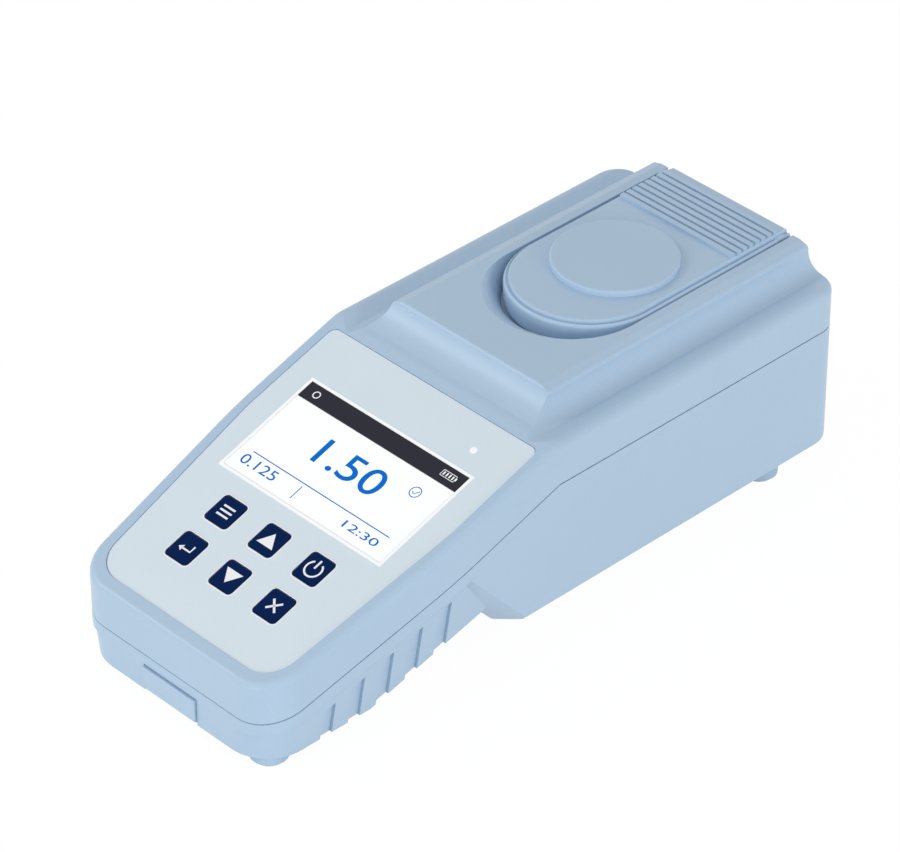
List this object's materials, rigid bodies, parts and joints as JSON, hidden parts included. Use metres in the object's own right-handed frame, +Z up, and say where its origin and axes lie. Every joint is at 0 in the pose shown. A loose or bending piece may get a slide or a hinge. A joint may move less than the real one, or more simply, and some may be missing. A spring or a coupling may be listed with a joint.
{
  "type": "chemical oxygen demand analyzer",
  "caption": "Portable bench photometer: ribbed grip, sloping key and display panel, raised deck with a hinged round-nosed lid over the sample well, and a flap over the front port.",
  "frame": {"origin": "on the table under the middle of the housing's overall box", "axes": "+X is the instrument's right, +Y its rear, where the deck and lid are, and +Z is up"},
  "size_m": [0.0922, 0.2226, 0.0744],
  "materials": {
    "body_plastic": "fine matte moulded",
    "seal_rubber": "soft dark",
    "steel": "plated",
    "overlay_film": "printed film",
    "bezel_plastic": "white satin",
    "display_module": "glass over a lit display",
    "lamp_lens": "clear to milky",
    "key_plastic": "navy satin",
    "black_plastic": "matte black",
    "circuit_board": "solder mask",
    "cell_wrap": "shrink wrap",
    "connector_metal": "plated shell",
    "lens_glass": "polished"
  },
  "bodies": {
    "housing": {"battery_cells": "cell_wrap", "battery_cradle": "black_plastic", "board_screws": "steel", "casing_screws": "steel", "collimating_lens": "lens_glass", "detector": "connector_metal", "detector_board": "circuit_board", "detector_holder": "black_plastic", "display_bezel": "bezel_plastic", "front_feet": "body_plastic", "key_switches": "black_plastic", "lcd_module": "display_module", "lid_hinge_pin": "steel", "light_source": "lamp_lens", "lower_casing": "body_plastic", "main_board": "circuit_board", "optical_filter": "lens_glass", "optics_screws": "steel", "panel_overlay": "overlay_film", "port_board": "circuit_board", "port_connector": "connector_metal", "port_cover_pin": "steel", "rear_feet": "body_plastic", "sample_well": "black_plastic", "seam_gasket": "seal_rubber", "source_board": "circuit_board", "source_holder": "black_plastic", "status_lamp": "lamp_lens", "upper_casing": "body_plastic"},
    "lid": {"lid": "body_plastic", "lid_seal": "seal_rubber"},
    "port_cover": {"port_cover": "body_plastic"},
    "key_enter": {"key_enter": "key_plastic"},
    "key_down": {"key_down": "key_plastic"},
    "key_back": {"key_back": "key_plastic"},
    "key_menu": {"key_menu": "key_plastic"},
    "key_up": {"key_up": "key_plastic"},
    "key_power": {"key_power": "key_plastic"}
  },
  "joints": [
    {"name": "lid_hinge", "type": "hinge", "parent": "housing", "child": "lid", "pos_m": [0, 0.10785, 0.0691], "axis": [-1, 0, 0], "range_deg": [0, 105]},
    {"name": "port_cover_hinge", "type": "hinge", "parent": "housing", "child": "port_cover", "pos_m": [0, -0.1094, 0.005], "axis": [1, 0, 0], "range_deg": [0, 110]},
    {"name": "key_enter_press", "type": "slide", "parent": "housing", "child": "key_enter", "axis": [0, 0.3118, -0.9501], "range_m": [0, 0.0005], "stiffness_N_per_m": 1000, "springref_m": -0.0003},
    {"name": "key_down_press", "type": "slide", "parent": "housing", "child": "key_down", "axis": [0, 0.3118, -0.9501], "range_m": [0, 0.0005], "stiffness_N_per_m": 1000, "springref_m": -0.0003},
    {"name": "key_back_press", "type": "slide", "parent": "housing", "child": "key_back", "axis": [0, 0.3118, -0.9501], "range_m": [0, 0.0005], "stiffness_N_per_m": 1000, "springref_m": -0.0003},
    {"name": "key_menu_press", "type": "slide", "parent": "housing", "child": "key_menu", "axis": [0, 0.3118, -0.9501], "range_m": [0, 0.0005], "stiffness_N_per_m": 1000, "springref_m": -0.0003},
    {"name": "key_up_press", "type": "slide", "parent": "housing", "child": "key_up", "axis": [0, 0.3118, -0.9501], "range_m": [0, 0.0005], "stiffness_N_per_m": 1000, "springref_m": -0.0003},
    {"name": "key_power_press", "type": "slide", "parent": "housing", "child": "key_power", "axis": [0, 0.3118, -0.9501], "range_m": [0, 0.0005], "stiffness_N_per_m": 1000, "springref_m": -0.0003}
  ]
}
